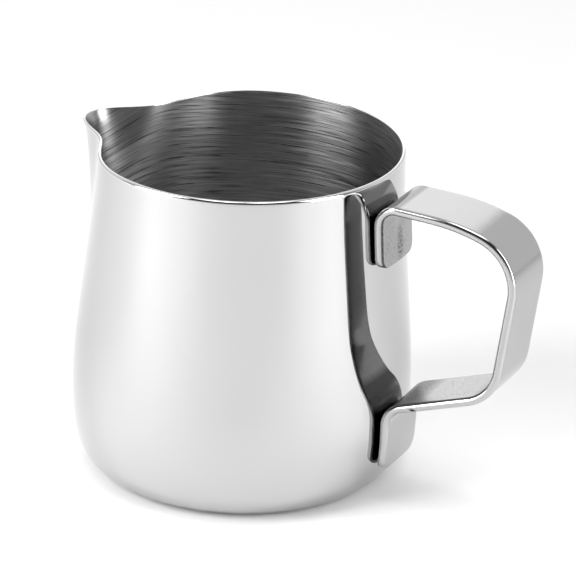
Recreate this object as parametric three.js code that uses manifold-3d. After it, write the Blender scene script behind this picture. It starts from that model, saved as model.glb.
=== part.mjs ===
// Milk frothing pitcher, 350 ml class: a deep-drawn stainless steel cup with a pressed spout, and a bent
// strip handle that is spot-welded to it.
// Millimetres, +Z up. The origin is the centre of the flat base, on the cup's axis. The handle is
// on +X and the spout on -X, so XZ is the plane of symmetry.

import * as THREE from 'three';
import { mergeVertices } from 'three/addons/utils/BufferGeometryUtils.js';
import Module from 'manifold-3d';

const wasm = await Module();
wasm.setup();

const { lerp, clamp, degToRad, smoothstep } = THREE.MathUtils;

// ---- Driving dimensions ------------------------------------------------------------------------------

// Cup wall, as radii and heights of its outer face.
const HEIGHT = 79.9;
const RIM_RADIUS = 37.35;
const BELLY_RADIUS = 41;
const BELLY_HEIGHT = 17.7;
const BASE_RADIUS = 32.7;
const WALL = 0.8;
const BASE_CORNER_REACH = 0.72; // share of the corner's width that its curve leaves the base level
const BASE_CORNER_DROP = 0.71; // share of its height that it meets the belly upright
const SHOULDER_RISE = 0.34; // share of the side's height that it leaves the belly upright
const NECK_DROP = 0.33; // share of its height that it meets the rim straight
const NECK_LEAN = -0.008; // outward slope of the wall at the rim
const RIM_ROUNDING = 0.25;

// Stiffening bead pressed up into the base.
const BEAD_RADIUS = 25;
const BEAD_HALF_WIDTH = 2.4;
const BEAD_DEPTH = 0.5;

// Spout. Angles are in degrees from the -X axis.
const SPOUT_ROOT_HEIGHT = 40;
const SPOUT_REACH = 9.15; // how far its nose stands out at the lip, from the drawn-in wall
const SPOUT_HALF_ANGLE = 14.8;
const LIP_CURL = 0.9; // further reach of the lip, where it turns outward
const LIP_CURL_HEIGHT = 3.8;
const LIP_DROP = 0.7; // height that the lip loses at the spout
const LIP_DROP_REACH = 20; // height over which the wall takes up that drop
const PINCH_ROOT_HEIGHT = 20;
const PINCH = 3.3; // how far the wall is drawn in on either side, at the lip
const PINCH_GROWTH = 1.34; // power at which the pinch grows with height
const PINCH_START_ANGLE = 14;
const PINCH_END_ANGLE = 68;

// Handle strip, by its centreline in the XZ plane. Each bend is a corner and the radius that rounds it.
// A flange's curve is the share of the cup's own curve that is rolled into it.
const STRIP_WIDTH = 17;
const STRIP_THICKNESS = 2.1;
const STRIP_EDGE_ROUNDING = 0.9;
const STRIP_CORNER_RADIUS = 2.5; // at the two ends
const FIT_GAP = 0.3; // between pieces that touch on the real object
const UPPER_FLANGE = { bottom: 59.2, bend: 74.45, bendRadius: 3.5, curve: 0.6 };
const LOWER_FLANGE = { bottom: 8.2, bend: 23.8, bendRadius: 5.7, curve: 0.2 };
const ARM_CREST = { x: 57.7, z: 73.95, radius: 44 };
const KNUCKLE_BEND = { x: 73.7, z: 69.1, radius: 12.3 };
const ELBOW_BEND = { x: 69.2, z: 33.4, radius: 10.8 };
const HUG_REACH = 9; // run over which an arm loses its flange's curve
const HUG_FADE = 5; // height over which the upper flange loses it, below its bend

// Spot welds.
const WELD_RADIUS = 2.5;
const WELD_THICKNESS = 0.7;
const WELD_SPACING = 6.4;
const UPPER_WELD_HEIGHT = 65.4;
const LOWER_WELD_HEIGHT = 14.6;

// Mesh fineness.
const AROUND = 76; // lathe steps
const CROWDING = 0.42; // share by which the steps close up at the spout and the handle
const CORNER_STEPS = 7;
const SIDE_STEPS = 13;
const RIM_STEPS = 2;
const STRIP_STEP = 3; // longest step along the strip
const BEND_STEP = degToRad(12);
const STRIP_FACE_STEPS = 8;
const STRIP_EDGE_STEPS = 3;
const STRIP_END_STEPS = 4;
const WELD_SIDES = 24;

// ---- Helpers -----------------------------------------------------------------------------------------

function steel(brightness, roughness) {
  const color = new THREE.Color(brightness, brightness, brightness);
  return new THREE.MeshStandardMaterial({ color, roughness, metalness: 1 });
}

function weld(geometry) {
  geometry.deleteAttribute('normal');
  geometry.deleteAttribute('uv');
  return mergeVertices(geometry, 1e-4);
}

function named(name, geometry, material) {
  const mesh = new THREE.Mesh(geometry, material);
  mesh.name = name;
  return mesh;
}

function toSolid(geometry) {
  const merged = weld(geometry.index ? geometry.toNonIndexed() : geometry.clone());
  return new wasm.Manifold(new wasm.Mesh({
    numProp: 3,
    vertProperties: merged.attributes.position.array,
    triVerts: new Uint32Array(merged.index.array),
  }));
}

function toGeometry(solid) {
  const mesh = solid.getMesh();
  const geometry = new THREE.BufferGeometry();
  geometry.setAttribute('position', new THREE.BufferAttribute(mesh.vertProperties, 3));
  geometry.setIndex(new THREE.BufferAttribute(mesh.triVerts, 1));
  return geometry;
}

// Moves every vertex: place(point) changes the point that it is given.
function reshape(geometry, place) {
  const position = geometry.attributes.position;
  const point = new THREE.Vector3();
  for (let i = 0; i < position.count; i++) {
    point.fromBufferAttribute(position, i);
    place(point);
    position.setXYZ(i, point.x, point.y, point.z);
  }
  return geometry;
}

// ---- Cup ---------------------------------------------------------------------------------------------

// The outer face is two curves that meet at the belly: the corner from the base, and the side to the rim.
const belly = new THREE.Vector2(BELLY_RADIUS, BELLY_HEIGHT);
const rim = new THREE.Vector2(RIM_RADIUS, HEIGHT);
const rimDirection = new THREE.Vector2(NECK_LEAN, 1).normalize();
const sideHeight = HEIGHT - BELLY_HEIGHT;

const cornerCurve = new THREE.CubicBezierCurve(
  new THREE.Vector2(BASE_RADIUS, 0),
  new THREE.Vector2(lerp(BASE_RADIUS, BELLY_RADIUS, BASE_CORNER_REACH), 0),
  new THREE.Vector2(BELLY_RADIUS, BELLY_HEIGHT * (1 - BASE_CORNER_DROP)),
  belly,
);

const sideCurve = new THREE.CubicBezierCurve(
  belly,
  new THREE.Vector2(BELLY_RADIUS, BELLY_HEIGHT + SHOULDER_RISE * sideHeight),
  rim.clone().addScaledVector(rimDirection, -NECK_DROP * sideHeight),
  rim,
);

// The point of a wall curve at t, moved into the metal by depth.
function wallPoint(curve, t, depth) {
  const along = curve.getTangent(t);
  return curve.getPoint(t).add(new THREE.Vector2(-along.y, along.x).multiplyScalar(depth));
}

// The outer radius of the plain cup at a height, by halving on the side or corner curve.
function wallRadius(height) {
  const curve = height > BELLY_HEIGHT ? sideCurve : cornerCurve;
  let low = 0;
  let high = 1;
  for (let i = 0; i < 40; i++) {
    const middle = (low + high) / 2;
    if (curve.getPoint(middle).y < height) low = middle;
    else high = middle;
  }
  return curve.getPoint(low).x;
}

// The base's own face from the axis to the corner, with the bead, at a given depth in the metal.
function basePoints(depth) {
  const points = [new THREE.Vector2(0, depth)];
  for (const share of [-1, -0.5, 0, 0.5, 1]) {
    const rise = BEAD_DEPTH * Math.cos(share * Math.PI / 2) ** 2;
    points.push(new THREE.Vector2(BEAD_RADIUS + share * BEAD_HALF_WIDTH, depth + rise));
  }
  return points;
}

function wallPoints(depth) {
  const points = [];
  for (let i = 0; i < CORNER_STEPS; i++) points.push(wallPoint(cornerCurve, i / CORNER_STEPS, depth));
  for (let i = 0; i < SIDE_STEPS; i++) points.push(wallPoint(sideCurve, i / SIDE_STEPS, depth));
  return points;
}

// The rim's rounded edge, from the outer face over to the inner one.
function rimPoints() {
  const points = [];
  for (const side of [0, 1]) {
    for (let i = 0; i <= RIM_STEPS; i++) {
      const angle = (side + i / RIM_STEPS) * Math.PI / 2;
      const across = side === 0 ? RIM_ROUNDING : WALL - RIM_ROUNDING;
      points.push(new THREE.Vector2(
        RIM_RADIUS - across + RIM_ROUNDING * Math.cos(angle),
        HEIGHT - RIM_ROUNDING + RIM_ROUNDING * Math.sin(angle),
      ));
    }
  }
  return points;
}

// How far the wall is drawn in beside the spout, from 1 under the nose to 0 on the plain cup.
function pinchShare(angle) {
  const start = degToRad(PINCH_START_ANGLE);
  const end = degToRad(PINCH_END_ANGLE);
  return Math.cos(clamp((Math.abs(angle) - start) / (end - start), 0, 1) * Math.PI / 2) ** 2;
}

// A height as a share of the way from a root height up to the rim.
function riseFrom(root, height) {
  return clamp((height - root) / (HEIGHT - root), 0, 1);
}

// How far the spout moves the wall outward, at an angle from -X and a height.
function spoutReach(angle, height) {
  const curl = riseFrom(HEIGHT - LIP_CURL_HEIGHT, height) ** 2;
  const nose = Math.exp(-((angle / degToRad(SPOUT_HALF_ANGLE)) ** 2));
  const outward = SPOUT_REACH * riseFrom(SPOUT_ROOT_HEIGHT, height) + LIP_CURL * curl;
  const inward = PINCH * riseFrom(PINCH_ROOT_HEIGHT, height) ** PINCH_GROWTH;
  return outward * nose - inward * pinchShare(angle);
}

// Turns a point of the plain cup into one of the cup with its spout.
function pressSpout(point) {
  const radius = Math.hypot(point.x, point.y);
  if (radius === 0) return;
  const even = Math.atan2(point.y, -point.x);
  const angle = even - CROWDING * Math.sin(2 * even) / 2;
  const pressed = radius + spoutReach(angle, point.z);
  point.x = -pressed * Math.cos(angle);
  point.y = pressed * Math.sin(angle);
  point.z -= LIP_DROP * riseFrom(HEIGHT - LIP_DROP_REACH, point.z) * pinchShare(angle);
}

function cupGeometry() {
  const outline = [
    ...basePoints(0),
    ...wallPoints(0),
    ...rimPoints(),
    ...wallPoints(WALL).reverse(),
    ...basePoints(WALL).reverse(),
  ];
  const cup = new THREE.LatheGeometry(outline, AROUND).rotateX(Math.PI / 2);
  return reshape(weld(cup), pressSpout);
}

// ---- Handle ------------------------------------------------------------------------------------------

// The strip is laid out against an upright wall at the flange's own mean radius, then hugs the real wall.
const STAND_OFF = FIT_GAP + STRIP_THICKNESS / 2;
const upperWall = wallRadius((UPPER_FLANGE.bottom + UPPER_FLANGE.bend) / 2);
const lowerWall = wallRadius((LOWER_FLANGE.bottom + LOWER_FLANGE.bend) / 2);

const handleCorners = [
  { x: upperWall + STAND_OFF, z: UPPER_FLANGE.bottom },
  { x: upperWall + STAND_OFF, z: UPPER_FLANGE.bend, radius: UPPER_FLANGE.bendRadius },
  ARM_CREST,
  KNUCKLE_BEND,
  ELBOW_BEND,
  { x: lowerWall + STAND_OFF, z: LOWER_FLANGE.bend, radius: LOWER_FLANGE.bendRadius },
  { x: lowerWall + STAND_OFF, z: LOWER_FLANGE.bottom },
];

// The corners' path as points, with an arc at every bend and short steps where the end corners are round.
function bentPath(corners) {
  const at = corners.map((corner) => new THREE.Vector2(corner.x, corner.z));
  const last = at.length - 1;
  const path = [at[0]];
  const runTo = (goal) => {
    const from = path[path.length - 1];
    const steps = Math.ceil(from.distanceTo(goal) / STRIP_STEP);
    for (let i = 1; i <= steps; i++) path.push(from.clone().lerp(goal, i / steps));
  };
  const endStep = (from, towards, i) => {
    const share = 1 - Math.cos((i / STRIP_END_STEPS) * Math.PI / 2);
    const along = towards.clone().sub(from).setLength(STRIP_CORNER_RADIUS * share);
    return from.clone().add(along);
  };
  for (let i = 1; i <= STRIP_END_STEPS; i++) path.push(endStep(at[0], at[1], i));
  for (let i = 1; i < last; i++) {
    const back = at[i - 1].clone().sub(at[i]).normalize();
    const ahead = at[i + 1].clone().sub(at[i]).normalize();
    const turn = Math.PI - Math.acos(clamp(back.dot(ahead), -1, 1));
    const radius = corners[i].radius;
    const inward = back.clone().add(ahead).normalize();
    const start = at[i].clone().addScaledVector(back, radius * Math.tan(turn / 2));
    const centre = at[i].clone().addScaledVector(inward, radius / Math.cos(turn / 2));
    const direction = Math.sign(ahead.cross(back));
    const steps = Math.max(2, Math.ceil(turn / BEND_STEP));
    runTo(start);
    for (let k = 1; k <= steps; k++) {
      path.push(start.clone().rotateAround(centre, direction * turn * k / steps));
    }
  }
  runTo(endStep(at[last], at[last - 1], STRIP_END_STEPS));
  for (let i = STRIP_END_STEPS - 1; i >= 0; i--) path.push(endStep(at[last], at[last - 1], i));
  return path;
}

// The strip's section: width on x, thickness on y, with rounded long edges.
function stripSection() {
  const points = [];
  const halfWidth = STRIP_WIDTH / 2 - STRIP_EDGE_ROUNDING;
  const halfThickness = STRIP_THICKNESS / 2 - STRIP_EDGE_ROUNDING;
  for (let quarter = 0; quarter < 4; quarter++) {
    const centreX = quarter === 0 || quarter === 3 ? halfWidth : -halfWidth;
    const centreY = quarter < 2 ? halfThickness : -halfThickness;
    for (let i = 0; i <= STRIP_EDGE_STEPS; i++) {
      const angle = (quarter + i / STRIP_EDGE_STEPS) * Math.PI / 2;
      points.push(new THREE.Vector2(
        centreX + STRIP_EDGE_ROUNDING * Math.cos(angle),
        centreY + STRIP_EDGE_ROUNDING * Math.sin(angle),
      ));
    }
    if (quarter % 2 === 1) continue;
    for (let i = 1; i < STRIP_FACE_STEPS; i++) {
      const share = 1 - 2 * i / STRIP_FACE_STEPS;
      points.push(new THREE.Vector2(share * Math.sign(centreX) * halfWidth, points[points.length - 1].y));
    }
  }
  return new THREE.Shape(points);
}

// Bends a straight bar, whose length is its z in steps of the path, along the path.
function bendAlong(path) {
  const last = path.length - 1;
  const lengths = [0];
  for (let i = 1; i <= last; i++) lengths.push(lengths[i - 1] + path[i].distanceTo(path[i - 1]));
  return (point) => {
    const i = Math.round(point.z);
    const before = path[Math.max(i - 1, 0)];
    const after = path[Math.min(i + 1, last)];
    const along = after.clone().sub(before).normalize();
    const fromEnd = Math.min(lengths[i], lengths[last] - lengths[i], STRIP_CORNER_RADIUS);
    const halfChord = Math.sqrt(STRIP_CORNER_RADIUS ** 2 - (STRIP_CORNER_RADIUS - fromEnd) ** 2);
    const cut = STRIP_CORNER_RADIUS - halfChord;
    const side = point.x * (1 - 2 * cut / STRIP_WIDTH);
    const out = point.y;
    point.set(path[i].x - along.y * out, side, path[i].y + along.x * out);
  };
}

// Leans and curves the flanges to the wall, fading out along the arms and into the upper bend.
function hugWall(point) {
  const isUpper = point.z > (UPPER_FLANGE.bottom + LOWER_FLANGE.bend) / 2;
  const flange = isUpper ? UPPER_FLANGE : LOWER_FLANGE;
  const clear = point.x - (isUpper ? upperWall : lowerWall);
  const alongArm = smoothstep(clear, FIT_GAP + STRIP_THICKNESS, FIT_GAP + STRIP_THICKNESS + HUG_REACH);
  const upBend = smoothstep(point.z, UPPER_FLANGE.bend - HUG_FADE, UPPER_FLANGE.bend);
  const flat = wallRadius(point.z) + clear;
  const curved = Math.sqrt(flat ** 2 - point.y ** 2);
  point.x = lerp(point.x, lerp(flat, curved, flange.curve), (1 - alongArm) * (1 - upBend));
}

function stripGeometry() {
  const path = bentPath(handleCorners);
  const steps = path.length - 1;
  const bar = new THREE.ExtrudeGeometry(stripSection(), { depth: steps, steps, bevelEnabled: false });
  const strip = reshape(weld(bar), bendAlong(path));
  return reshape(strip, hugWall);
}

// ---- Spot welds --------------------------------------------------------------------------------------

const welds = [
  { name: 'upper_weld_top', height: UPPER_WELD_HEIGHT + WELD_SPACING / 2 },
  { name: 'upper_weld_bottom', height: UPPER_WELD_HEIGHT - WELD_SPACING / 2 },
  { name: 'lower_weld_top', height: LOWER_WELD_HEIGHT + WELD_SPACING / 2 },
  { name: 'lower_weld_bottom', height: LOWER_WELD_HEIGHT - WELD_SPACING / 2 },
];

// A disc on the wall at a height, from a given clearance outward.
function wallDisc(height, radius, clearance, thickness) {
  const disc = new THREE.CylinderGeometry(radius, radius, thickness, WELD_SIDES);
  disc.rotateZ(-Math.PI / 2);
  return disc.translate(wallRadius(height) + clearance + thickness / 2, 0, height);
}

// The handle, with a pocket in the back of its flanges for each weld.
function handleGeometry() {
  let handle = toSolid(stripGeometry());
  for (const { height } of welds) {
    const depth = WELD_THICKNESS + 2 * FIT_GAP;
    const pocket = wallDisc(height, WELD_RADIUS + FIT_GAP, 0, depth);
    handle = handle.subtract(toSolid(pocket));
  }
  return toGeometry(handle);
}

// ---- Assembly ----------------------------------------------------------------------------------------

const pitcher = new THREE.Group();
pitcher.add(named('pitcher_body', cupGeometry(), steel(0.78, 0.12)));
pitcher.add(named('handle_strip', handleGeometry(), steel(0.74, 0.28)));
for (const { name, height } of welds) {
  pitcher.add(named(name, wallDisc(height, WELD_RADIUS, FIT_GAP, WELD_THICKNESS), steel(0.5, 0.5)));
}

export default pitcher;
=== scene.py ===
"""The looks of a milk frothing pitcher of the 350 ml class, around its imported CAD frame.

Metres, +Z up, with the origin at the centre of the flat base. The handle is on +X and the spout on -X.
"""

from math import acos, ceil, cos, exp, hypot, pi, radians, sin, sqrt, tan

import bpy
from mathutils import Matrix, Vector


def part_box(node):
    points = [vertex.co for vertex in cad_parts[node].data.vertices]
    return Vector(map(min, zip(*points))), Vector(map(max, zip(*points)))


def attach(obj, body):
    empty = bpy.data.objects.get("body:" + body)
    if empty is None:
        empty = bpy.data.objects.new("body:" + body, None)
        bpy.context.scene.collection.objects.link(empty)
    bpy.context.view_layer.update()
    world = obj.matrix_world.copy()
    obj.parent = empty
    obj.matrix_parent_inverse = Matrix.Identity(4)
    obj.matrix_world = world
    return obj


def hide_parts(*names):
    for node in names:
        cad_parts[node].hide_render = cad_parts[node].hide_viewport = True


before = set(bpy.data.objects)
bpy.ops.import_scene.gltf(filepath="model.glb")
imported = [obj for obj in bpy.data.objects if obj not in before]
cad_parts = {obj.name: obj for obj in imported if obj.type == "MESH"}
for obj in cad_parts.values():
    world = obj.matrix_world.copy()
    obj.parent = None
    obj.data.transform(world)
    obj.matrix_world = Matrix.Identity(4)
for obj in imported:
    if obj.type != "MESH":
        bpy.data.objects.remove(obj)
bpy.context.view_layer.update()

MM = 0.001

body_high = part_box("pitcher_body")[1]
strip_low, strip_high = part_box("handle_strip")

# ---- Dimensions --------------------------------------------------------------------------------------

# Cup wall, as radii and heights of its outer face.
HEIGHT = body_high.z
RIM_RADIUS = 37.35 * MM
BELLY_RADIUS = body_high.y
BELLY_HEIGHT = 17.7 * MM
BASE_RADIUS = 32.7 * MM
WALL = 0.8 * MM
BASE_CORNER_REACH = 0.72  # share of the corner's width that its curve leaves the base level
BASE_CORNER_DROP = 0.71  # share of its height that it meets the belly upright
SHOULDER_RISE = 0.34  # share of the side's height that it leaves the belly upright
NECK_DROP = 0.33  # share of its height that it meets the rim straight
NECK_LEAN = -0.008  # outward slope of the wall at the rim
RIM_OUTER_ROUNDING = 0.65 * MM
RIM_INNER_ROUNDING = 0.15 * MM
RADIUS_HALVINGS = 40  # halvings that find the wall's radius at a height

# Stiffening bead pressed up into the base.
BEAD_RADIUS = 25 * MM
BEAD_HALF_WIDTH = 2.4 * MM
BEAD_DEPTH = 0.5 * MM

# Spout. Angles are from the -X axis.
SPOUT_ROOT_HEIGHT = 40 * MM
SPOUT_REACH = 9.15 * MM
SPOUT_HALF_ANGLE = radians(14.8)
LIP_CURL = 0.9 * MM
LIP_CURL_HEIGHT = 3.8 * MM
LIP_DROP = 0.7 * MM
LIP_DROP_REACH = 20 * MM
PINCH_ROOT_HEIGHT = 20 * MM
PINCH = 3.3 * MM  # how far the wall is drawn in at each side of the spout
PINCH_GROWTH = 1.34  # power at which it is drawn in up the wall
PINCH_START_ANGLE = radians(14)
PINCH_END_ANGLE = radians(68)

# Handle strip, by its centreline in the XZ plane: corners, and the radii that round them.
# A flange's curve is the share of the cup's own curve that is rolled into it.
STRIP_WIDTH = strip_high.y - strip_low.y
STRIP_THICKNESS = 2.1 * MM
STRIP_EDGE_ROUNDING = 0.9 * MM
STRIP_CORNER_RADIUS = 2.5 * MM
CORNER_WIDTH = 0.28 * MM  # width of the dark line of painted shade along the finger side's corners
CORNER_SLACK = 0.01 * MM  # keeps a corner's own edge in the dark line
FIT_GAP = 0.3 * MM
UPPER_FLANGE = {"bottom": 59.2 * MM, "bend": 74.45 * MM, "radius": 3.5 * MM, "curve": 0.6}
LOWER_FLANGE = {"bottom": 8.2 * MM, "bend": 23.8 * MM, "radius": 5.7 * MM, "curve": 0.2}
ARM_CREST = (57.7 * MM, 73.95 * MM, 44 * MM)
KNUCKLE_BEND = (73.7 * MM, 69.1 * MM, 12.3 * MM)
ELBOW_BEND = (69.2 * MM, 33.4 * MM, 10.8 * MM)
HUG_REACH = 9 * MM  # how far along an arm the flange's lean and curve fade out
HUG_FADE = 5 * MM  # how far below the upper bend they start to fade

# Spot welds.
WELD_RADIUS = 2.5 * MM
WELD_BITE = 0.05 * MM  # how far a nugget reaches into the wall and the flange
WELD_SWELL = 0.15 * MM
DIMPLE_RADIUS = 2.2 * MM  # mark that the electrode leaves in the strip's face
DIMPLE_FLAT = 0.55  # share of that radius that is pressed to the full depth
DIMPLE_DEPTH = 0.1 * MM

# Marks of wear and welding on the strip, and a patch of painted shade, as the places and reaches of
# ellipsoids.
NICK = (49.5 * MM, -STRIP_WIDTH / 2, 25.9 * MM)
NICK_REACH = (1.1 * MM, 1.2 * MM, 0.5 * MM)
BURN = (40.5 * MM, 0.3 * MM, 63.3 * MM)
BURN_REACH = (4 * MM, 2 * MM, 5 * MM)
FLANGE_REACH = (8 * MM, 30 * MM, 20 * MM)  # what the upper flange takes up round its burn marks
# Painted shade on the finger side where the lower arm bends down to the wall; scratches lie in it too.
LOWER_BEND_SHADE = (45.5 * MM, 0, 26.5 * MM)
LOWER_BEND_SHADE_REACH = (6.5 * MM, 30 * MM, 6 * MM)

# Where the painted shade on the strip changes.
BEND_SHADE_END = 44.2 * MM  # how far out the painted shade on the upper bend's cup side reaches
BEND_SHADE_FADE = 1 * MM
LOWER_ARM_TOP = 33 * MM
GRIP_BOTTOM = 42 * MM

# Mesh fineness.
AROUND = 288
CROWDING = 0.42  # how strongly the cup's columns crowd towards the spout and the handle
BASE_STEPS = 24
BEAD_STEPS = 8
CORNER_STEPS = 30
SIDE_STEPS = 90
RIM_STEPS = 8
STRIP_STEP = 0.7 * MM
BEND_STEP = radians(3)
STRIP_FACE_STEPS = 26
STRIP_EDGE_STEPS = 6
STRIP_END_STEPS = 10
WELD_SIDES = 48
WELD_RINGS = 6


# ---- Small helpers -----------------------------------------------------------------------------------

def lerp(a, b, share):
    return a + (b - a) * share


def clamp(value, low=0.0, high=1.0):
    return max(low, min(high, value))


def smoothstep(value, low, high):
    share = clamp((value - low) / (high - low))
    return share * share * (3 - 2 * share)


def bezier(points, t):
    a, b, c, d = points
    s = 1 - t
    return a * s ** 3 + b * (3 * s * s * t) + c * (3 * s * t * t) + d * t ** 3


def bezier_direction(points, t):
    a, b, c, d = points
    s = 1 - t
    return ((b - a) * (s * s) + (c - b) * (2 * s * t) + (d - c) * (t * t)).normalized()


def make_object(name, vertices, faces):
    mesh = bpy.data.meshes.new(name)
    mesh.from_pydata(vertices, [], faces)
    mesh.update()
    mesh.shade_smooth()
    made = bpy.data.objects.new(name, mesh)
    bpy.context.scene.collection.objects.link(made)
    return made


# ---- Cup shape ---------------------------------------------------------------------------------------

side_height = HEIGHT - BELLY_HEIGHT
belly = Vector((BELLY_RADIUS, BELLY_HEIGHT))
rim = Vector((RIM_RADIUS, HEIGHT))
corner_curve = (
    Vector((BASE_RADIUS, 0)),
    Vector((lerp(BASE_RADIUS, BELLY_RADIUS, BASE_CORNER_REACH), 0)),
    Vector((BELLY_RADIUS, BELLY_HEIGHT * (1 - BASE_CORNER_DROP))),
    belly,
)
side_curve = (
    belly,
    Vector((BELLY_RADIUS, BELLY_HEIGHT + SHOULDER_RISE * side_height)),
    rim - Vector((NECK_LEAN, 1)).normalized() * NECK_DROP * side_height,
    rim,
)


def wall_point(curve, t, depth):
    """The point of a wall curve at t, moved into the metal by depth."""
    along = bezier_direction(curve, t)
    return bezier(curve, t) + Vector((-along.y, along.x)) * depth


def wall_radius(height):
    """The outer radius of the plain cup at a height, by halving on its curve."""
    curve = side_curve if height > BELLY_HEIGHT else corner_curve
    low, high = 0.0, 1.0
    for _ in range(RADIUS_HALVINGS):
        middle = (low + high) / 2
        if bezier(curve, middle).y < height:
            low = middle
        else:
            high = middle
    return bezier(curve, low).x


def base_rows(depth):
    """The base's face from near the axis to the corner, with the bead."""
    inner_edge = BEAD_RADIUS - BEAD_HALF_WIDTH
    rows = [Vector((inner_edge * i / BASE_STEPS, depth)) for i in range(1, BASE_STEPS)]
    for i in range(BEAD_STEPS + 1):
        share = 2 * i / BEAD_STEPS - 1
        rise = BEAD_DEPTH * cos(share * pi / 2) ** 2
        rows.append(Vector((BEAD_RADIUS + share * BEAD_HALF_WIDTH, depth + rise)))
    return rows


def wall_rows(depth):
    corner = [wall_point(corner_curve, i / CORNER_STEPS, depth) for i in range(CORNER_STEPS)]
    side = [wall_point(side_curve, i / SIDE_STEPS, depth) for i in range(SIDE_STEPS)]
    return corner + side


def rim_rows():
    """The rim's rounded edge, from the outer face over to the inner one."""
    rows = []
    for side, rounding in enumerate((RIM_OUTER_ROUNDING, RIM_INNER_ROUNDING)):
        centre_x = RIM_RADIUS - (rounding if side == 0 else WALL - rounding)
        for i in range(RIM_STEPS + 1):
            angle = (side + i / RIM_STEPS) * pi / 2
            rows.append(Vector((
                centre_x + rounding * cos(angle),
                HEIGHT - rounding + rounding * sin(angle),
            )))
    return rows


def rise_from(root, height):
    return clamp((height - root) / (HEIGHT - root))


def pinch_share(angle):
    across = clamp((abs(angle) - PINCH_START_ANGLE) / (PINCH_END_ANGLE - PINCH_START_ANGLE))
    return cos(across * pi / 2) ** 2


def spout_reach(angle, height):
    """How far the spout moves the wall outward, at an angle from -X and a height."""
    curl = rise_from(HEIGHT - LIP_CURL_HEIGHT, height) ** 2
    nose = exp(-((angle / SPOUT_HALF_ANGLE) ** 2))
    outward = SPOUT_REACH * rise_from(SPOUT_ROOT_HEIGHT, height) + LIP_CURL * curl
    inward = PINCH * rise_from(PINCH_ROOT_HEIGHT, height) ** PINCH_GROWTH
    return outward * nose - inward * pinch_share(angle)


def cup_point(row, turn):
    """Where a point of the plain outline goes at a share of a turn from -X, with the spout pressed in."""
    even = turn * 2 * pi
    angle = even - CROWDING * sin(2 * even) / 2
    signed = angle if angle <= pi else angle - 2 * pi
    radius = row.x + spout_reach(signed, row.y)
    drop = LIP_DROP * rise_from(HEIGHT - LIP_DROP_REACH, row.y) * pinch_share(signed)
    return (-radius * cos(angle), radius * sin(angle), row.y - drop)


def cup_object():
    """The cup as one closed skin: its outside with the base, its rim, and its inside."""
    outside = base_rows(0) + wall_rows(0)
    edge = rim_rows()
    inside = list(reversed(base_rows(WALL) + wall_rows(WALL)))
    rows = outside + edge + inside
    vertices = [cup_point(row, i / AROUND) for row in rows for i in range(AROUND)]
    under_centre, floor_centre = len(vertices), len(vertices) + 1
    vertices += [(0, 0, 0), (0, 0, WALL)]
    last = (len(rows) - 1) * AROUND
    faces = []
    for i in range(AROUND):
        after = (i + 1) % AROUND
        faces.append((under_centre, i, after))
        faces.append((floor_centre, last + after, last + i))
        for start in range(0, last, AROUND):
            faces.append((start + i, start + AROUND + i, start + AROUND + after, start + after))
    cup = make_object("cup", vertices, faces)
    paint_cup(cup, len(outside) * AROUND, (len(outside) + len(edge)) * AROUND)
    return cup


def paint_cup(cup, outside_end, edge_end):
    """Gives the skin its finishes: the polished outside, the polished rim and the brushed inside."""
    for material in (polished_steel(), rim_steel(), brushed_inside()):
        cup.data.materials.append(material)
    rim_index, inside_index = 1, 2
    floor_centre = len(cup.data.vertices) - 1
    for face in cup.data.polygons:
        first = min(face.vertices)
        if floor_centre in face.vertices or first >= edge_end - AROUND:
            face.material_index = inside_index
        elif first >= outside_end - AROUND:
            face.material_index = rim_index


# ---- Handle shape ------------------------------------------------------------------------------------

STAND_OFF = FIT_GAP + STRIP_THICKNESS / 2
upper_wall = wall_radius((UPPER_FLANGE["bottom"] + UPPER_FLANGE["bend"]) / 2)
lower_wall = wall_radius((LOWER_FLANGE["bottom"] + LOWER_FLANGE["bend"]) / 2)

handle_corners = [
    (upper_wall + STAND_OFF, UPPER_FLANGE["bottom"], 0),
    (upper_wall + STAND_OFF, UPPER_FLANGE["bend"], UPPER_FLANGE["radius"]),
    ARM_CREST,
    KNUCKLE_BEND,
    ELBOW_BEND,
    (lower_wall + STAND_OFF, LOWER_FLANGE["bend"], LOWER_FLANGE["radius"]),
    (lower_wall + STAND_OFF, LOWER_FLANGE["bottom"], 0),
]


def turned(point, centre, angle):
    away = point - centre
    return centre + Vector((
        away.x * cos(angle) - away.y * sin(angle),
        away.x * sin(angle) + away.y * cos(angle),
    ))


def bent_path(corners):
    """The corners' path as points, with an arc at every bend and short steps at the rounded ends."""
    at = [Vector(corner[:2]) for corner in corners]
    path = [at[0]]

    def run_to(goal):
        start = path[-1]
        steps = ceil((goal - start).length / STRIP_STEP)
        path.extend(start.lerp(goal, i / steps) for i in range(1, steps + 1))

    def end_step(end, towards, i):
        share = 1 - cos(i / STRIP_END_STEPS * pi / 2)
        return end + (towards - end).normalized() * STRIP_CORNER_RADIUS * share

    path.extend(end_step(at[0], at[1], i) for i in range(1, STRIP_END_STEPS + 1))
    for i in range(1, len(at) - 1):
        back = (at[i - 1] - at[i]).normalized()
        ahead = (at[i + 1] - at[i]).normalized()
        turn = pi - acos(clamp(back.dot(ahead), -1, 1))
        radius = corners[i][2]
        start = at[i] + back * radius * tan(turn / 2)
        centre = at[i] + (back + ahead).normalized() * radius / cos(turn / 2)
        direction = 1 if ahead.x * back.y > ahead.y * back.x else -1
        steps = ceil(turn / BEND_STEP)
        run_to(start)
        path.extend(turned(start, centre, direction * turn * k / steps) for k in range(1, steps + 1))
    run_to(end_step(at[-1], at[-2], STRIP_END_STEPS))
    path.extend(end_step(at[-1], at[-2], i) for i in range(STRIP_END_STEPS - 1, -1, -1))
    return path


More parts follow.
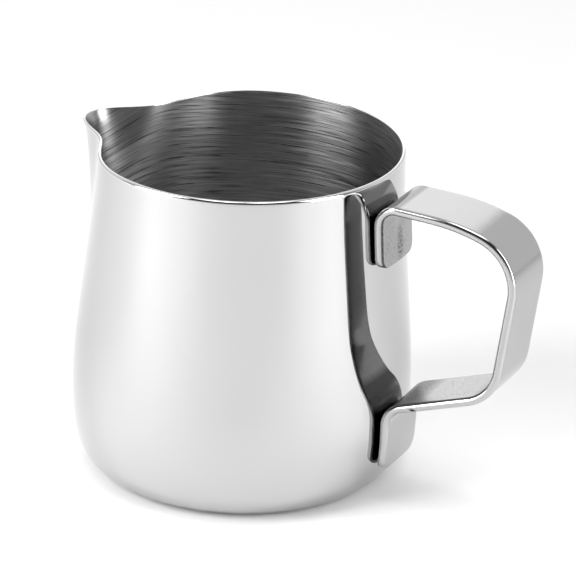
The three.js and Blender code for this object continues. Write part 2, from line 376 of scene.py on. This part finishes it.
def strip_section():
    """The strip's section as (across, out) points: a rectangle with rounded long edges."""
    points = []
    half_width = STRIP_WIDTH / 2 - STRIP_EDGE_ROUNDING
    half_thickness = STRIP_THICKNESS / 2 - STRIP_EDGE_ROUNDING
    for quarter in range(4):
        centre_x = half_width if quarter in (0, 3) else -half_width
        centre_y = half_thickness if quarter < 2 else -half_thickness
        for i in range(STRIP_EDGE_STEPS + 1):
            angle = (quarter + i / STRIP_EDGE_STEPS) * pi / 2
            points.append(Vector((
                centre_x + STRIP_EDGE_ROUNDING * cos(angle),
                centre_y + STRIP_EDGE_ROUNDING * sin(angle),
            )))
        if quarter in (0, 2):
            run = centre_x * 2
            flat = points[-1].y
            points += [
                Vector((centre_x - run * i / STRIP_FACE_STEPS, flat)) for i in range(1, STRIP_FACE_STEPS)
            ]
    return points


def hug_wall(x, y, z):
    """Leans and curves the flanges to the wall, fading out along the arms and into the upper bend."""
    is_upper = z > (UPPER_FLANGE["bottom"] + LOWER_FLANGE["bend"]) / 2
    flange = UPPER_FLANGE if is_upper else LOWER_FLANGE
    clear = x - (upper_wall if is_upper else lower_wall)
    face = FIT_GAP + STRIP_THICKNESS
    along_arm = smoothstep(clear, face, face + HUG_REACH)
    up_bend = smoothstep(z, UPPER_FLANGE["bend"] - HUG_FADE, UPPER_FLANGE["bend"])
    flat = wall_radius(z) + clear
    curved = sqrt(flat ** 2 - y ** 2)
    return lerp(x, lerp(flat, curved, flange["curve"]), (1 - along_arm) * (1 - up_bend))


def dimple(y, z):
    """How deep the electrodes' marks are at a point of a flange's face."""
    away = min(hypot(y, z - height) for height in weld_heights.values())
    return DIMPLE_DEPTH * (1 - smoothstep(away, DIMPLE_FLAT * DIMPLE_RADIUS, DIMPLE_RADIUS))


def handle_object():
    """The bent strip, as its section carried along the path."""
    path = bent_path(handle_corners)
    lengths = [0.0]
    for before, after in zip(path, path[1:]):
        lengths.append(lengths[-1] + (after - before).length)
    section = strip_section()
    vertices = []
    for i, centre in enumerate(path):
        along = (path[min(i + 1, len(path) - 1)] - path[max(i - 1, 0)]).normalized()
        from_end = min(lengths[i], lengths[-1] - lengths[i], STRIP_CORNER_RADIUS)
        cut = STRIP_CORNER_RADIUS - sqrt(STRIP_CORNER_RADIUS ** 2 - (STRIP_CORNER_RADIUS - from_end) ** 2)
        for point in section:
            y = point.x * (1 - 2 * cut / STRIP_WIDTH)
            x = centre.x - along.y * point.y
            z = centre.y + along.x * point.y
            x = hug_wall(x, y, z)
            if point.y < 0 and x < wall_radius(z) + 2 * STRIP_THICKNESS:
                x -= dimple(y, z)
            vertices.append((x, y, z))
    around, rows = len(section), len(path)
    faces = [tuple(range(around)), tuple(reversed(range((rows - 1) * around, rows * around)))]
    for start in range(0, (rows - 1) * around, around):
        for k in range(around):
            after = (k + 1) % around
            faces.append((start + k, start + around + k, start + around + after, start + after))
    strip = make_object("handle", vertices, faces)
    add_strip_coordinates(strip, section, lengths)
    paint_handle(strip, section)
    return strip


def paint_handle(strip, section):
    """Gives the strip its finishes: polished, and a little duller on the finger side, with painted shade
    over that side and darker painted shade along its corners.
    """
    for material in (satin_steel(), dull_shaded_steel(), shaded_corner_steel()):
        strip.data.materials.append(material)
    dull_shaded_index, shaded_corner_index = 1, 2
    corner_edge = CORNER_WIDTH - STRIP_THICKNESS / 2
    corner_start = STRIP_WIDTH / 2 - STRIP_EDGE_ROUNDING
    for face in strip.data.polygons:
        points = [section[index % len(section)] for index in face.vertices]
        if len(points) == 4 and all(point.y < corner_edge for point in points):
            in_corner = all(abs(point.x) > corner_start - CORNER_SLACK for point in points)
            face.material_index = shaded_corner_index if in_corner else dull_shaded_index


def add_strip_coordinates(strip, section, lengths):
    """A UV map in centimetres: along the strip, and around its section."""
    per_centimetre = 100
    around = len(section)
    girth = [0.0]
    for before, after in zip(section, section[1:] + section[:1]):
        girth.append(girth[-1] + (after - before).length)
    uv = strip.data.uv_layers.new(name="strip")
    for face in strip.data.polygons:
        ks = [strip.data.loops[i].vertex_index % around for i in face.loop_indices]
        wraps = len(ks) == 4 and 0 in ks and around - 1 in ks
        for i, k in zip(face.loop_indices, ks):
            row = strip.data.loops[i].vertex_index // around
            side = girth[around] if wraps and k == 0 else girth[k]
            uv.data[i].uv = (lengths[row] * per_centimetre, side * per_centimetre)


# ---- Spot welds --------------------------------------------------------------------------------------

weld_nodes = ("upper_weld_top", "upper_weld_bottom", "lower_weld_top", "lower_weld_bottom")


def weld_height(node):
    low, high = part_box(node)
    return (low.z + high.z) / 2


weld_heights = {node: weld_height(node) for node in weld_nodes}


def nugget_object(node):
    """A fused nugget across the gap between the wall and a flange, swollen at its middle."""
    height = weld_heights[node]
    vertices = []
    for i in range(WELD_RINGS + 1):
        share = i / WELD_RINGS
        depth = lerp(-WELD_BITE, FIT_GAP + WELD_BITE, share)
        radius = WELD_RADIUS - 2 * WELD_SWELL + WELD_SWELL * sin(share * pi)
        for k in range(WELD_SIDES):
            angle = k / WELD_SIDES * 2 * pi
            y = radius * cos(angle)
            z = height + radius * sin(angle)
            vertices.append((sqrt((wall_radius(z) + depth) ** 2 - y ** 2), y, z))
    last = WELD_RINGS * WELD_SIDES
    faces = [tuple(reversed(range(WELD_SIDES))), tuple(range(last, last + WELD_SIDES))]
    for start in range(0, last, WELD_SIDES):
        for k in range(WELD_SIDES):
            after = (k + 1) % WELD_SIDES
            faces.append((start + k, start + after, start + WELD_SIDES + after, start + WELD_SIDES + k))
    nugget = make_object(node.replace("weld", "nugget"), vertices, faces)
    nugget.data.materials.append(fused_steel())
    return nugget


# ---- Materials ---------------------------------------------------------------------------------------

def add_node(tree, kind, inputs=(), **settings):
    """A new node with its settings, and with each input linked to a socket or set to a value."""
    node = tree.nodes.new(kind)
    for name, value in settings.items():
        setattr(node, name, value)
    for key, value in dict(inputs).items():
        if isinstance(value, bpy.types.NodeSocket):
            tree.links.new(value, node.inputs[key])
        else:
            node.inputs[key].default_value = value
    return node


class Steel:
    """A metal material under construction, with the node steps that the finishes share.

    The brightness and the roughness are its plain values, which a finish may replace with varied ones.
    """

    # The range that most of a noise's values are in.
    NOISE_LOW = 0.3
    NOISE_HIGH = 0.7

    def __init__(self, name, brightness, roughness):
        self.material = bpy.data.materials.new(name)
        self.material.use_nodes = True
        self.tree = self.material.node_tree
        self.shader = self.tree.nodes["Principled BSDF"]
        self.shader.inputs["Metallic"].default_value = 1
        self.shader.inputs["Base Color"].default_value = (brightness, brightness, brightness, 1)
        self.shader.inputs["Roughness"].default_value = roughness
        self.bumps = None

    def add(self, kind, inputs=(), **settings):
        return add_node(self.tree, kind, inputs, **settings)

    def object_place(self):
        return self.add("ShaderNodeTexCoord").outputs["Object"]

    def stretched(self, place, scale):
        return self.add("ShaderNodeMapping", {"Vector": place, "Scale": scale}).outputs["Vector"]

    def noise(self, place, scale, detail=2.0, roughness=0.5):
        node = self.add("ShaderNodeTexNoise", {
            "Vector": place, "Scale": scale, "Detail": detail, "Roughness": roughness,
        })
        return node.outputs["Fac"]

    def remap(self, value, low, high, to_low, to_high):
        node = self.add("ShaderNodeMapRange", {
            "Value": value, "From Min": low, "From Max": high, "To Min": to_low, "To Max": to_high,
        })
        return node.outputs["Result"]

    def spread(self, noise, low, high):
        """A noise spread over a range of its own."""
        return self.remap(noise, self.NOISE_LOW, self.NOISE_HIGH, low, high)

    def spots(self, noise, edge, full):
        """0 where a noise is under its edge, and 1 where it is over full."""
        return self.remap(noise, edge, full, 0.0, 1.0)

    def math(self, operation, a, b=0.0):
        return self.add("ShaderNodeMath", {0: a, 1: b}, operation=operation).outputs["Value"]

    def near(self, place, centre, reach):
        """1 round a centre, fading to 0 at an ellipsoid's reach from it."""
        solid_share = 0.4
        away = self.add("ShaderNodeMapping", {
            "Vector": place,
            "Location": [-c / r for c, r in zip(centre, reach)],
            "Scale": [1 / r for r in reach],
        })
        distance = self.add("ShaderNodeVectorMath", {0: away.outputs["Vector"]}, operation="LENGTH")
        return self.remap(distance.outputs["Value"], solid_share, 1.0, 1.0, 0.0)

    def darkened(self, value, mask, share):
        """A value with a share of it taken away where the mask is 1."""
        return self.math("MULTIPLY", value, self.remap(mask, 0.0, 1.0, 1.0, 1.0 - share))

    def set_roughness(self, value):
        self.tree.links.new(value, self.shader.inputs["Roughness"])

    def set_brightness(self, value):
        grey = self.add("ShaderNodeCombineColor", {"Red": value, "Green": value, "Blue": value})
        self.tree.links.new(grey.outputs["Color"], self.shader.inputs["Base Color"])

    def bump(self, height, strength, distance):
        inputs = {"Height": height, "Strength": strength, "Distance": distance}
        if self.bumps:
            inputs["Normal"] = self.bumps
        self.bumps = self.add("ShaderNodeBump", inputs).outputs["Normal"]
        self.tree.links.new(self.bumps, self.shader.inputs["Normal"])

    def hoop_place(self, along, across):
        """A place that changes slowly round the axis and fast up the wall or out from the axis."""
        place = self.object_place()
        parts = self.add("ShaderNodeSeparateXYZ", {"Vector": place})
        flat = self.add("ShaderNodeCombineXYZ", {"X": parts.outputs["X"], "Y": parts.outputs["Y"]})
        radius = self.add("ShaderNodeVectorMath", {0: flat.outputs["Vector"]}, operation="LENGTH")
        climb = self.math("ADD", radius.outputs["Value"], parts.outputs["Z"])
        hoop = self.add("ShaderNodeCombineXYZ", {
            "X": self.math("MULTIPLY", parts.outputs["X"], along),
            "Y": self.math("MULTIPLY", parts.outputs["Y"], along),
            "Z": self.math("MULTIPLY", climb, across),
        })
        return hoop.outputs["Vector"]


def polished_steel():
    """Mirror polish, with the faint waves of drawn sheet and a trace of haze."""
    steel = Steel("polished steel", 0.57, 0.05)
    haze = steel.noise(steel.object_place(), 60, detail=4)
    steel.set_roughness(steel.spread(haze, 0.02, 0.05))
    waves = steel.noise(steel.hoop_place(14, 30), 1.0, detail=1)
    steel.bump(waves, 0.25, 0.0004)
    lines = steel.noise(steel.hoop_place(60, 5000), 1.0, detail=2)
    steel.bump(lines, 0.02, 0.00005)
    return steel.material


def rim_steel():
    """The polished edge of the rim, with faint rubbing along it."""
    steel = Steel("rim steel", 0.72, 0.03)
    rubbing = steel.noise(steel.hoop_place(40, 3000), 1.0, detail=2)
    steel.set_roughness(steel.spread(rubbing, 0.02, 0.05))
    return steel.material


def brushed_inside():
    """The inside, brushed round the axis."""
    steel = Steel("brushed inside", 0.6, 0.3)
    steel.shader.inputs["Anisotropic"].default_value = 0.8
    steel.shader.inputs["Anisotropic Rotation"].default_value = 0.25
    tangent = steel.add("ShaderNodeTangent", direction_type="RADIAL", axis="Z")
    steel.tree.links.new(tangent.outputs["Tangent"], steel.shader.inputs["Tangent"])
    coarse = steel.noise(steel.hoop_place(60, 3400), 1.0, detail=2, roughness=0.6)
    fine = steel.noise(steel.hoop_place(120, 7500), 1.0, detail=2, roughness=0.6)
    streaks = steel.math("ADD", steel.math("MULTIPLY", coarse, 0.5), steel.math("MULTIPLY", fine, 0.5))
    steel.set_roughness(steel.remap(streaks, 0.35, 0.65, 0.24, 0.4))
    steel.set_brightness(steel.remap(streaks, 0.37, 0.63, 0.27, 0.65))
    steel.bump(streaks, 0.5, 0.0001)
    return steel.material


def satin_steel():
    """The strip's outer side: polished, with a trace of brushing, a nick, and painted shade on the upper
    bend and flange next to the cup.
    """
    steel = Steel("satin steel", 0.48, 0.12)
    solid = steel.object_place()
    place = steel.add("ShaderNodeUVMap", uv_map="strip").outputs["UV"]
    brushing = steel.noise(steel.stretched(place, (2.5, 160, 1)), 1.0, detail=3, roughness=0.6)
    grain = steel.noise(place, 55, detail=3)
    steel.set_roughness(steel.spread(brushing, 0.09, 0.15))
    polish = steel.spread(grain, 0.45, 0.5)
    nick = steel.near(solid, NICK, NICK_REACH)
    parts = steel.add("ShaderNodeSeparateXYZ", {"Vector": solid}).outputs
    # Painted shade: the upper bend and flange next to the cup are darkened by 40%, standing in for the dark
    # cup that they mirror.
    gap = steel.remap(parts["X"], BEND_SHADE_END - BEND_SHADE_FADE, BEND_SHADE_END, 1.0, 0.0)
    upper = steel.remap(parts["Z"], GRIP_BOTTOM, UPPER_FLANGE["bottom"], 0.0, 1.0)
    aside = steel.math("ABSOLUTE", parts["Y"])
    across = steel.remap(aside, STRIP_WIDTH / 2 - STRIP_EDGE_ROUNDING, STRIP_WIDTH / 2, 1.0, 0.0)
    painted_bend_shade = steel.math("MULTIPLY", steel.math("MULTIPLY", gap, upper), across)
    steel.set_brightness(steel.darkened(steel.darkened(polish, nick, 0.97), painted_bend_shade, 0.4))
    steel.bump(brushing, 0.1, 0.00004)
    steel.bump(grain, 0.08, 0.00005)
    return steel.material


def dull_shaded_steel():
    """The strip's finger side: duller, pitted, scuffed at the upper weld, and darkened by painted shade,
    most up the grip and in the lower bend by the wall.
    """
    steel = Steel("dull shaded steel", 0.5, 0.14)
    place = steel.add("ShaderNodeUVMap", uv_map="strip").outputs["UV"]
    solid = steel.object_place()
    height = steel.add("ShaderNodeSeparateXYZ", {"Vector": solid}).outputs["Z"]
    brushing = steel.noise(steel.stretched(place, (2.5, 120, 1)), 1.0, detail=3, roughness=0.6)
    grain = steel.noise(place, 70, detail=4, roughness=0.7)
    pits = steel.spots(steel.noise(solid, 3200, detail=2), 0.57, 0.62)
    marks = steel.spots(steel.noise(solid, 2600, detail=3, roughness=0.7), 0.48, 0.54)
    scratches = steel.noise(steel.stretched(solid, (300, 2600, 900)), 1.0, detail=3, roughness=0.7)
    steel.set_roughness(steel.spread(brushing, 0.1, 0.18))
    # Painted shade: the finger side is darker than the outer side, lighter on the lower arm's upward face,
    # darker up the grip, and lighter round the upper flange.
    grip = steel.remap(height, LOWER_ARM_TOP, GRIP_BOTTOM, 0.36, 0.27)
    flange = steel.near(solid, BURN, FLANGE_REACH)
    finish = steel.math("ADD", grip, steel.math("MULTIPLY", flange, 0.11))
    mottled = steel.math("MULTIPLY", finish, steel.spread(grain, 0.85, 1.15))
    pitted = steel.darkened(mottled, pits, 0.45)
    burn = steel.math("MULTIPLY", marks, steel.near(solid, BURN, BURN_REACH))
    burnt = steel.darkened(pitted, burn, 0.92)
    # Painted shade darkens the lower bend by the wall by 30%; the scratches' bump is kept to the same
    # patch.
    lower_bend_shade = steel.near(solid, LOWER_BEND_SHADE, LOWER_BEND_SHADE_REACH)
    steel.set_brightness(steel.darkened(burnt, lower_bend_shade, 0.7))
    steel.bump(brushing, 0.12, 0.00005)
    steel.bump(grain, 0.2, 0.00006)
    steel.bump(steel.math("MULTIPLY", scratches, lower_bend_shade), 0.5, 0.0001)
    return steel.material


def shaded_corner_steel():
    """Painted shade along the strip's finger-side corners: dark and grainy."""
    steel = Steel("shaded corner steel", 0.12, 0.3)
    grain = steel.noise(steel.object_place(), 2600, detail=3)
    steel.set_roughness(steel.spread(grain, 0.22, 0.38))
    steel.set_brightness(steel.spread(grain, 0.07, 0.17))
    steel.bump(grain, 0.3, 0.00005)
    return steel.material


def fused_steel():
    """The dull, scaled skin of a weld."""
    steel = Steel("fused steel", 0.35, 0.5)
    scale = steel.noise(steel.object_place(), 2500, detail=5)
    steel.set_roughness(steel.spread(scale, 0.4, 0.65))
    steel.set_brightness(steel.spread(scale, 0.2, 0.45))
    steel.bump(scale, 0.5, 0.0001)
    return steel.material


# ---- Stage -------------------------------------------------------------------------------------------

CAMERA_AZIMUTH = radians(27.6)
CAMERA_ELEVATION = radians(23.35)
CAMERA_DISTANCE = 766.3 * MM
CAMERA_AIM = Vector((0, 0, 45 * MM))
CAMERA_PAN = radians(-0.79)
CAMERA_TILT = radians(-0.13)
CAMERA_ROLL = radians(-1.35)
CAMERA_LENS = 200
CAMERA_SENSOR_WIDTH = 36

# Brightness of the surroundings: in front of the pitcher, behind it, and the least near the horizon.
ROOM = 0.05
BACKDROP = 0.84
BACKDROP_BLEND = 0.35  # how far, as a cosine, the room and the backdrop fade into each other
HORIZON = 0.55
HORIZON_TOP = radians(12)

# Tall softboxes standing on the floor, by their directions from the camera in degrees.
SOFTBOXES = {
    "left softbox": {"turn": -66, "distance": 0.6, "width": 0.32, "height": 0.9, "watts": 7},
    "right softbox": {"turn": 57, "distance": 0.6, "width": 0.26, "height": 0.8, "watts": 3.6},
    "rear softbox": {"turn": 180, "distance": 1.5, "width": 1.2, "height": 1.2, "watts": 2.8},
}

# Gridded strip lights over the floor, as directions from the camera and watts. The near-upright wall
# mirrors the floor that they light.
FLOOR_STRIPS = ((-64, 0.026), (-42, 0.014), (42, 0.022), (62, 0.041))
STRIP_LIGHT_SIZE = (320 * MM, 70 * MM)
STRIP_LIGHT_DISTANCE = 190 * MM
STRIP_LIGHT_HEIGHT = 220 * MM
STRIP_LIGHT_SPREAD = radians(40)

PAPER_REACH = 1.2  # half of the sheet's side
PAPER_GAP = 0.05 * MM  # keeps the paper and the pitcher's base off one plane
PAPER_BRIGHTNESS = 0.86
PAPER_SHEEN = 0.1
PAPER_FIBRES = 900
PAPER_ROUGHNESS = (0.8, 0.95)

# Big soft lights that whiten the paper. They are out of the metal's sight.
PAPER_LIGHTS = {
    "overhead": {"size": (3, 3), "height": 1.5, "distance": 0, "watts": 7},
    "background light": {"size": (0.8, 2), "height": 1, "distance": 1.3, "watts": 6.5},
}


def make_camera():
    """A long lens at the photograph's angle, turned a little off the aim point."""
    data = bpy.data.cameras.new("camera")
    data.lens = CAMERA_LENS
    data.sensor_width = CAMERA_SENSOR_WIDTH
    data.clip_start = 0.05
    data.clip_end = 50
    camera = bpy.data.objects.new("camera", data)
    bpy.context.scene.collection.objects.link(camera)
    round_axis = Matrix.Rotation(CAMERA_AZIMUTH, 4, "Z")
    raised = Matrix.Rotation(pi / 2 - CAMERA_ELEVATION, 4, "X")
    back = Matrix.Translation((0, 0, CAMERA_DISTANCE))
    turned_off = (
        Matrix.Rotation(CAMERA_PAN, 4, "Y")
        @ Matrix.Rotation(CAMERA_TILT, 4, "X")
        @ Matrix.Rotation(-CAMERA_ROLL, 4, "Z")
    )
    camera.matrix_world = Matrix.Translation(CAMERA_AIM) @ round_axis @ raised @ back @ turned_off
    bpy.context.scene.camera = camera


def make_floor():
    """A wide sheet of matt white paper."""
    turns = ((-1, -1), (1, -1), (1, 1), (-1, 1))
    corners = [(x * PAPER_REACH, y * PAPER_REACH, -PAPER_GAP) for x, y in turns]
    floor = make_object("floor", corners, [(0, 1, 2, 3)])
    material = bpy.data.materials.new("white paper")
    material.use_nodes = True
    tree = material.node_tree
    shader = tree.nodes["Principled BSDF"]
    shader.inputs["Base Color"].default_value = (PAPER_BRIGHTNESS, PAPER_BRIGHTNESS, PAPER_BRIGHTNESS, 1)
    shader.inputs["Specular IOR Level"].default_value = PAPER_SHEEN
    fibres = add_node(tree, "ShaderNodeTexNoise", {"Scale": PAPER_FIBRES})
    smoothest, roughest = PAPER_ROUGHNESS
    roughness = add_node(tree, "ShaderNodeMapRange", {
        "Value": fibres.outputs["Fac"], "To Min": smoothest, "To Max": roughest,
    })
    tree.links.new(roughness.outputs["Result"], shader.inputs["Roughness"])
    floor.data.materials.append(material)


def make_light(name, size, watts, turn, distance, height):
    """A soft rectangular light that points down, at so many degrees round from the camera."""
    data = bpy.data.lights.new(name, "AREA")
    data.shape = "RECTANGLE"
    data.size, data.size_y = size
    data.energy = watts
    light = bpy.data.objects.new(name, data)
    bpy.context.scene.collection.objects.link(light)
    azimuth = CAMERA_AZIMUTH - pi / 2 + radians(turn)
    light.location = (distance * cos(azimuth), distance * sin(azimuth), height)
    light.rotation_euler = (0, 0, azimuth)
    light.visible_camera = False
    return light


def make_world():
    """A bright backdrop behind and over the pitcher, a dark room in front, and a pale horizon all round."""
    world = bpy.data.worlds.new("studio")
    world.use_nodes = True
    tree = world.node_tree
    direction = add_node(tree, "ShaderNodeTexCoord").outputs["Generated"]
    backward = add_node(tree, "ShaderNodeVectorMath", {
        0: direction, 1: (-sin(CAMERA_AZIMUTH), cos(CAMERA_AZIMUTH), 0),
    }, operation="DOT_PRODUCT")
    around = add_node(tree, "ShaderNodeMapRange", {
        "Value": backward.outputs["Value"],
        "From Min": -BACKDROP_BLEND, "From Max": BACKDROP_BLEND,
        "To Min": ROOM, "To Max": BACKDROP,
    }, interpolation_type="SMOOTHSTEP")
    horizon = add_node(tree, "ShaderNodeMath", {
        0: around.outputs["Result"], 1: HORIZON,
    }, operation="MAXIMUM")
    upward = add_node(tree, "ShaderNodeSeparateXYZ", {"Vector": direction}).outputs["Z"]
    brightness = add_node(tree, "ShaderNodeMapRange", {
        "Value": upward,
        "From Min": sin(HORIZON_TOP) / 2, "From Max": sin(HORIZON_TOP),
        "To Min": horizon.outputs["Value"], "To Max": around.outputs["Result"],
    }, interpolation_type="SMOOTHSTEP")
    tree.links.new(brightness.outputs["Result"], tree.nodes["Background"].inputs["Color"])
    bpy.context.scene.world = world


def make_lights():
    for name, box in SOFTBOXES.items():
        size = (box["width"], box["height"])
        light = make_light(name, size, box["watts"], box["turn"], box["distance"], box["height"] / 2)
        inward = Vector((-light.location.x, -light.location.y, 0))
        light.rotation_euler = inward.to_track_quat("-Z", "Y").to_euler()
    for turn, watts in FLOOR_STRIPS:
        name = f"floor strip {turn}"
        light = make_light(name, STRIP_LIGHT_SIZE, watts, turn, STRIP_LIGHT_DISTANCE, STRIP_LIGHT_HEIGHT)
        light.data.spread = STRIP_LIGHT_SPREAD
    for name, lamp in PAPER_LIGHTS.items():
        light = make_light(name, lamp["size"], lamp["watts"], 180, lamp["distance"], lamp["height"])
        light.visible_glossy = False


# ---- Assembly ----------------------------------------------------------------------------------------

cup = cup_object()
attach(cup, "root")
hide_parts("pitcher_body")

handle = handle_object()
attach(handle, "root")
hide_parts("handle_strip")

for node in weld_nodes:
    nugget = nugget_object(node)
    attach(nugget, "root")
    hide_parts(node)

make_floor()
make_world()
make_lights()
make_camera()
bpy.context.scene.view_settings.view_transform = "Standard"
